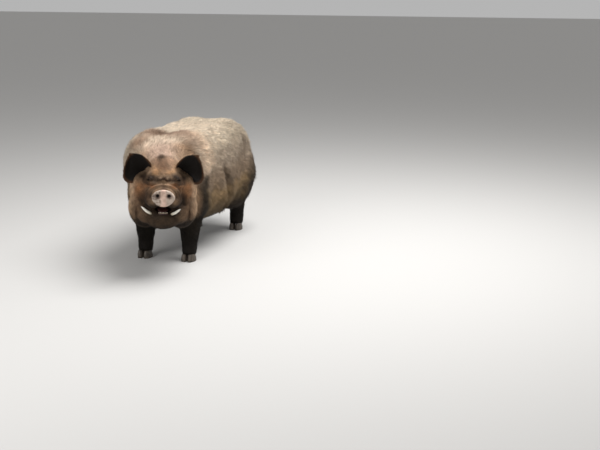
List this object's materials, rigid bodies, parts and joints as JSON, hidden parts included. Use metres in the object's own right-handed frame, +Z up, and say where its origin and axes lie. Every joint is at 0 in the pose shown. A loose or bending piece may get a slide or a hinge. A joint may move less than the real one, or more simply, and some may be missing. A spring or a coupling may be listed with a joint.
{
  "type": "kunekune pig",
  "caption": "Life-size still model of a kunekune pig standing with its head turned to its left, hairy coat, cupped ears, tusks and short snout.",
  "frame": {"origin": "on the ground, under the middle of the whole animal", "axes": "+Y towards the rump, so the snout is towards -Y; +X towards the pig's own left side; +Z up"},
  "size_m": [0.5668, 1.3796, 0.6984],
  "materials": {
    "coat": "long hairy coat, grey beige above, browner and darker below",
    "face": "short brown and ginger hair over folded skin, pink and grey snout disc",
    "ear": "black hair, dark bare skin in the cup",
    "leg": "dark brown to black hair",
    "wattle": "soft skin with thin hair",
    "hoof": "dark horn",
    "ivory": "worn ivory",
    "eye": "wet dark brown",
    "tongue": "wet pink"
  },
  "bodies": {
    "root": {"torso": "coat", "neck": "coat", "tail": "coat", "head": "face", "ear_left": "ear", "ear_right": "ear", "eye_left": "eye", "eye_right": "eye", "tusk_left": "ivory", "tusk_right": "ivory", "teeth_lower": "ivory", "tongue": "tongue", "wattle_left": "wattle", "wattle_right": "wattle", "leg_front_left": "leg", "leg_front_right": "leg", "leg_hind_left": "leg", "leg_hind_right": "leg", "hoof_front_left_inner": "hoof", "hoof_front_left_outer": "hoof", "hoof_front_right_inner": "hoof", "hoof_front_right_outer": "hoof", "hoof_hind_left_inner": "hoof", "hoof_hind_left_outer": "hoof", "hoof_hind_right_inner": "hoof", "hoof_hind_right_outer": "hoof", "dewclaw_front_left_inner": "hoof", "dewclaw_front_left_outer": "hoof", "dewclaw_front_right_inner": "hoof", "dewclaw_front_right_outer": "hoof", "dewclaw_hind_left_inner": "hoof", "dewclaw_hind_left_outer": "hoof", "dewclaw_hind_right_inner": "hoof", "dewclaw_hind_right_outer": "hoof"}
  },
  "joints": []
}
